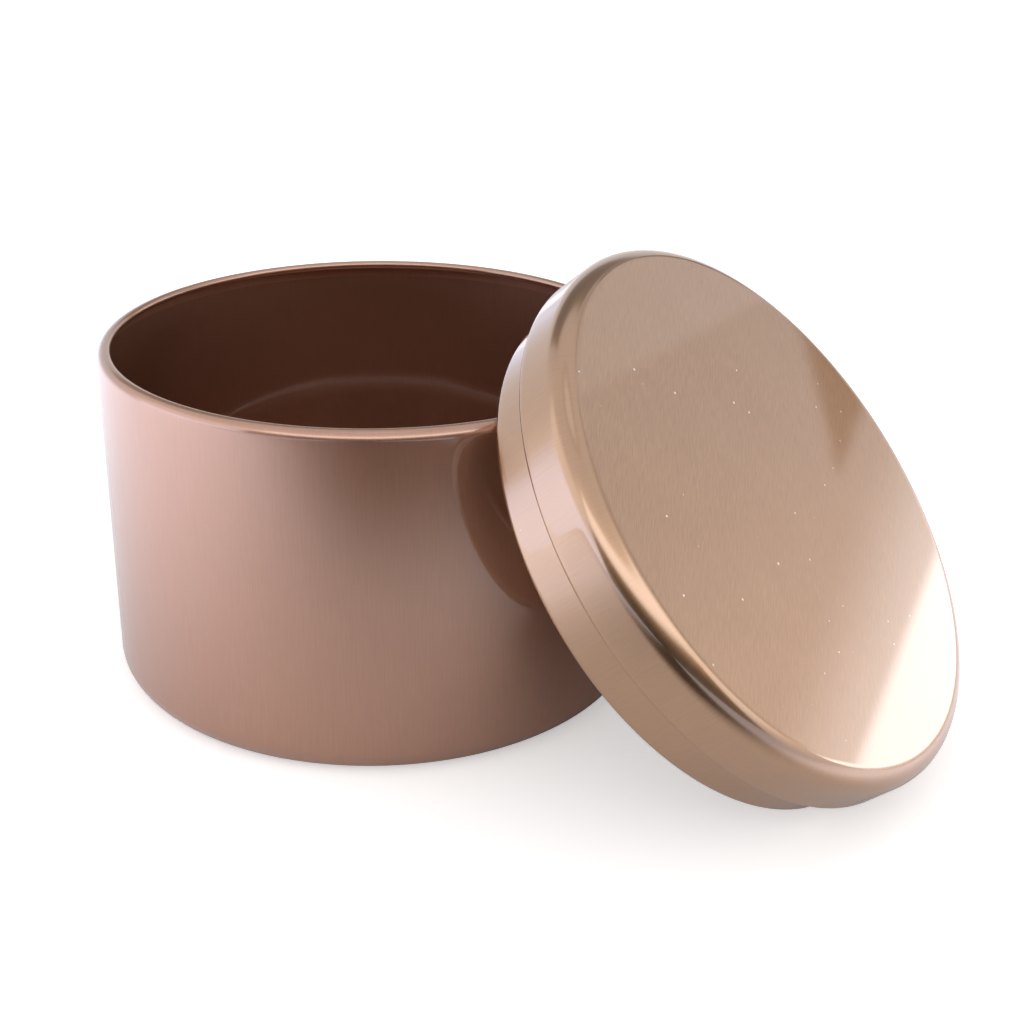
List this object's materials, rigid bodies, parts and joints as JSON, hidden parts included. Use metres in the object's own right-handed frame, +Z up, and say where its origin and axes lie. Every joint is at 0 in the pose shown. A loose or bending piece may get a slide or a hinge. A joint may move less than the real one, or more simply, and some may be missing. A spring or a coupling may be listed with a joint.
{
  "type": "candle tin",
  "caption": "Round seamless candle tin with a curled rim and a push-in lid that leans on it, open and empty.",
  "frame": {"origin": "centre of the tin's foot, on the surface it stands on", "axes": "+Z up along the tin's axis, +X towards the lid that leans on the tin's rim"},
  "size_m": [0.1286, 0.08, 0.0669],
  "materials": {
    "rose_lacquer": "satin rose-gold lacquer over bright rolled tinplate"
  },
  "bodies": {
    "tin": {"tin_body": "rose_lacquer"},
    "lid": {"lid": "rose_lacquer"}
  },
  "joints": [
    {"name": "lid_lift", "type": "slide", "parent": "tin", "child": "lid", "axis": [0, 0, 1], "range_m": [0, 0.08]}
  ]
}
